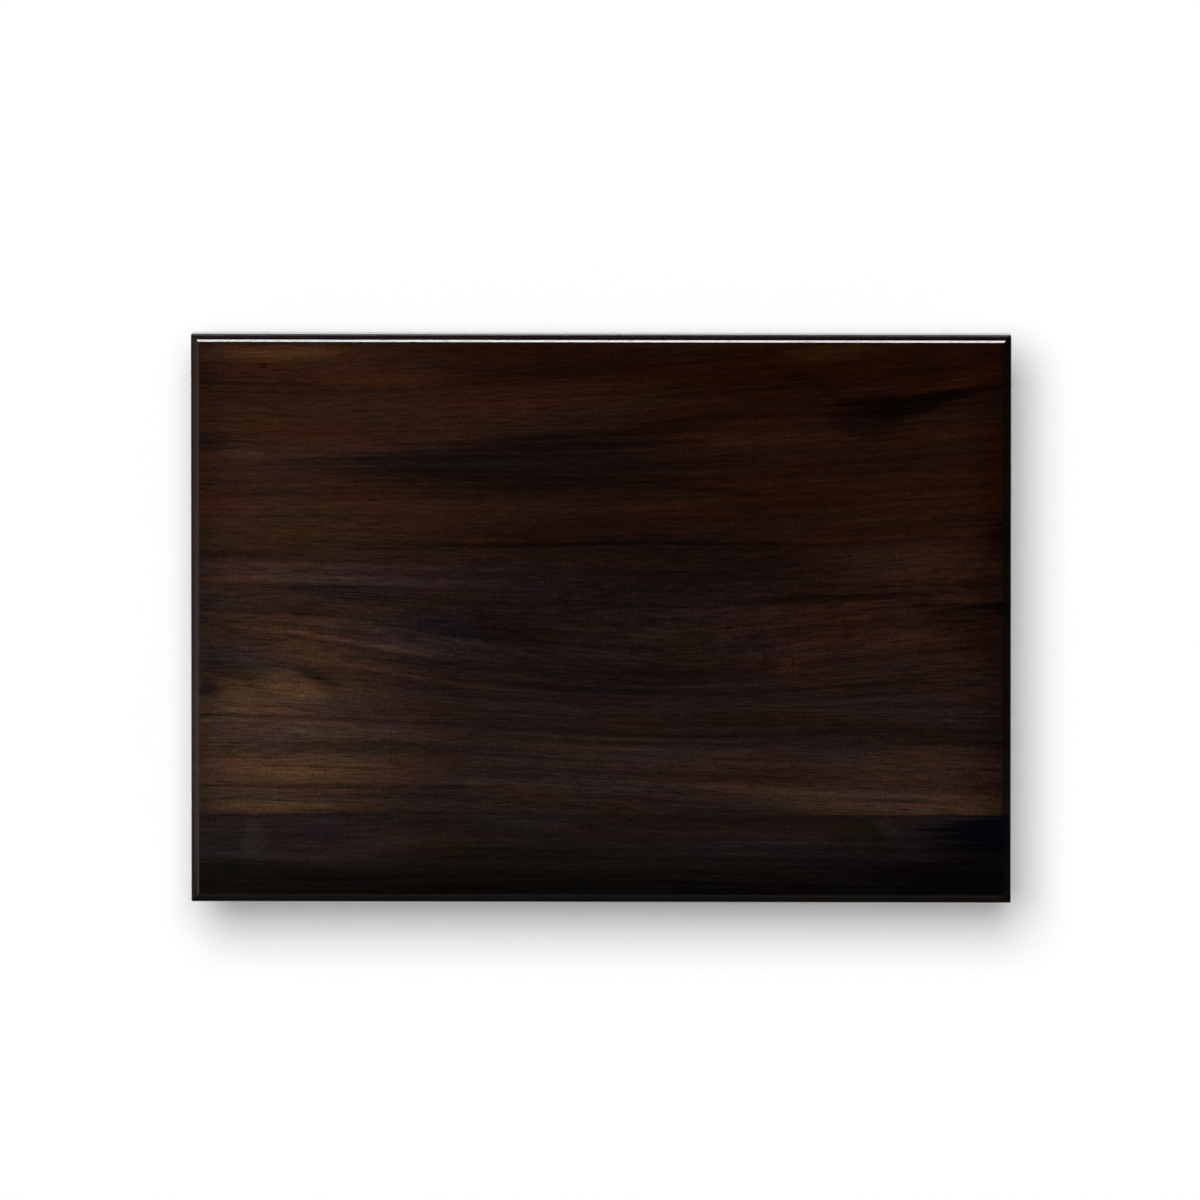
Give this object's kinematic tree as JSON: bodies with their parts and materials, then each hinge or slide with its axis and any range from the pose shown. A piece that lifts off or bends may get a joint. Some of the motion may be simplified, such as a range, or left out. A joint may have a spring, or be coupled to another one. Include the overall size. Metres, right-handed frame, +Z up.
{
  "type": "photo album stand",
  "caption": "Low dark wooden stand with a flat moulded-edge top of two glued boards on turned bun feet, for displaying a closed photo album.",
  "frame": {"origin": "on the table, under the centre of the stand's bounding box", "axes": "+X along the long side of the top, +Y from the narrow front board to the back edge, +Z up"},
  "size_m": [0.4572, 0.3174, 0.057],
  "materials": {
    "main_board_lacquer": "semi-gloss clear lacquer over dark stained hardwood, grain along X",
    "front_board_lacquer": "semi-gloss clear lacquer over near-black stained hardwood, grain along X",
    "tongue_wood": "bare planed wood",
    "batten_lacquer": "satin lacquer over dark stained hardwood, grain along Y",
    "washer_steel": "zinc plated",
    "screw_steel": "zinc plated",
    "foot_lacquer": "semi-gloss lacquer over dark stained turned hardwood, grain along Z",
    "bolt_steel": "zinc plated",
    "insert_brass": "machined",
    "felt": "pressed wool felt, dark brown"
  },
  "bodies": {
    "root": {"main_board": "main_board_lacquer", "front_board": "front_board_lacquer", "seam_tongue": "tongue_wood", "batten_left": "batten_lacquer", "batten_washer_left_front": "washer_steel", "batten_screw_left_front": "screw_steel", "batten_washer_left_middle": "washer_steel", "batten_screw_left_middle": "screw_steel", "batten_washer_left_back": "washer_steel", "batten_screw_left_back": "screw_steel", "batten_right": "batten_lacquer", "batten_washer_right_front": "washer_steel", "batten_screw_right_front": "screw_steel", "batten_washer_right_middle": "washer_steel", "batten_screw_right_middle": "screw_steel", "batten_washer_right_back": "washer_steel", "batten_screw_right_back": "screw_steel", "foot_front_left": "foot_lacquer", "foot_bolt_front_left": "bolt_steel", "foot_insert_front_left": "insert_brass", "felt_pad_front_left": "felt", "foot_front_right": "foot_lacquer", "foot_bolt_front_right": "bolt_steel", "foot_insert_front_right": "insert_brass", "felt_pad_front_right": "felt", "foot_back_left": "foot_lacquer", "foot_bolt_back_left": "bolt_steel", "foot_insert_back_left": "insert_brass", "felt_pad_back_left": "felt", "foot_back_right": "foot_lacquer", "foot_bolt_back_right": "bolt_steel", "foot_insert_back_right": "insert_brass", "felt_pad_back_right": "felt"}
  },
  "joints": []
}
